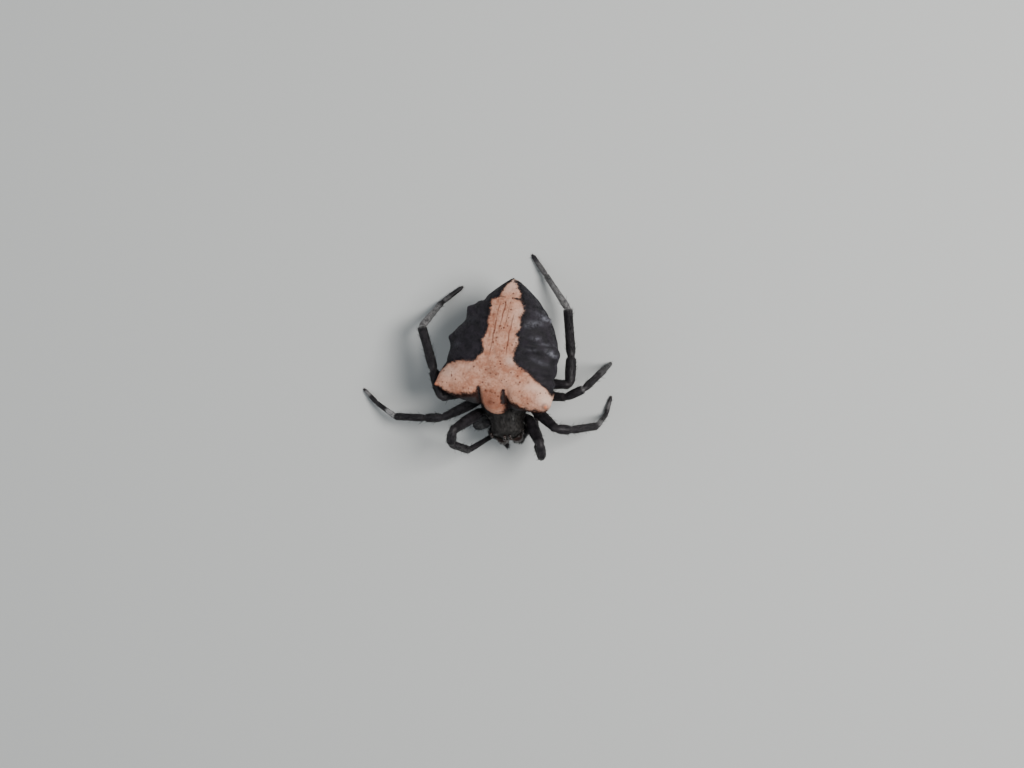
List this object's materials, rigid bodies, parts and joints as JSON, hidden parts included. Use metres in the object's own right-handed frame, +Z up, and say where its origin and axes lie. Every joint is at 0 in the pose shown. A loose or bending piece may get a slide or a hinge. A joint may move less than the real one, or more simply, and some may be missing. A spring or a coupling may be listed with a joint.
{
  "type": "shouldered orb weaver spider",
  "caption": "Large orb-weaving spider with a broad three-cornered abdomen, a pale cross on black, and legs held as on its web.",
  "frame": {"origin": "centre of the whole spider's box in plan, at the level of the floor its feet stand on", "axes": "+Z up from the floor, +X toward the spider's left, -Y the way the head faces, turned a little to the spider's left"},
  "size_m": [0.038, 0.0312, 0.0177],
  "materials": {
    "abdomen_velvet": "short dense black velvet with a salmon-pink cross of pale scale hairs",
    "leg_black": "black horny shell under short dark hairs",
    "leg_grey": "dark horny shell with a band of pale grey hairs",
    "shell_black": "black horny shell, slightly shiny, with short hairs",
    "jaw_black": "shiny black-brown horny shell"
  },
  "bodies": {
    "root": {"abdomen": "abdomen_velvet", "spinnerets": "leg_black", "pedicel": "leg_black", "carapace": "shell_black", "sternum": "shell_black", "chelicera_left": "jaw_black", "chelicera_right": "jaw_black", "palp_left": "leg_black", "palp_right": "leg_black", "leg_1_left_coxa": "leg_black", "leg_1_left_femur": "leg_black", "leg_1_left_patella": "leg_black", "leg_1_left_tibia": "leg_black", "leg_1_left_metatarsus": "leg_grey", "leg_1_left_tarsus": "leg_black", "leg_2_left_coxa": "leg_black", "leg_2_left_femur": "leg_black", "leg_2_left_patella": "leg_black", "leg_2_left_tibia": "leg_black", "leg_2_left_metatarsus": "leg_grey", "leg_2_left_tarsus": "leg_black", "leg_3_left_coxa": "leg_black", "leg_3_left_femur": "leg_black", "leg_3_left_patella": "leg_black", "leg_3_left_tibia": "leg_black", "leg_3_left_metatarsus": "leg_grey", "leg_3_left_tarsus": "leg_black", "leg_4_left_coxa": "leg_black", "leg_4_left_femur": "leg_black", "leg_4_left_patella": "leg_black", "leg_4_left_tibia": "leg_black", "leg_4_left_metatarsus": "leg_grey", "leg_4_left_tarsus": "leg_black", "leg_1_right_coxa": "leg_black", "leg_1_right_femur": "leg_black", "leg_1_right_patella": "leg_black", "leg_1_right_tibia": "leg_black", "leg_1_right_metatarsus": "leg_grey", "leg_1_right_tarsus": "leg_black", "leg_2_right_coxa": "leg_black", "leg_2_right_femur": "leg_black", "leg_2_right_patella": "leg_black", "leg_2_right_tibia": "leg_black", "leg_2_right_metatarsus": "leg_grey", "leg_2_right_tarsus": "leg_black", "leg_3_right_coxa": "leg_black", "leg_3_right_femur": "leg_black", "leg_3_right_patella": "leg_black", "leg_3_right_tibia": "leg_black", "leg_3_right_metatarsus": "leg_grey", "leg_3_right_tarsus": "leg_black", "leg_4_right_coxa": "leg_black", "leg_4_right_femur": "leg_black", "leg_4_right_patella": "leg_black", "leg_4_right_tibia": "leg_black", "leg_4_right_metatarsus": "leg_grey", "leg_4_right_tarsus": "leg_black"}
  },
  "joints": []
}
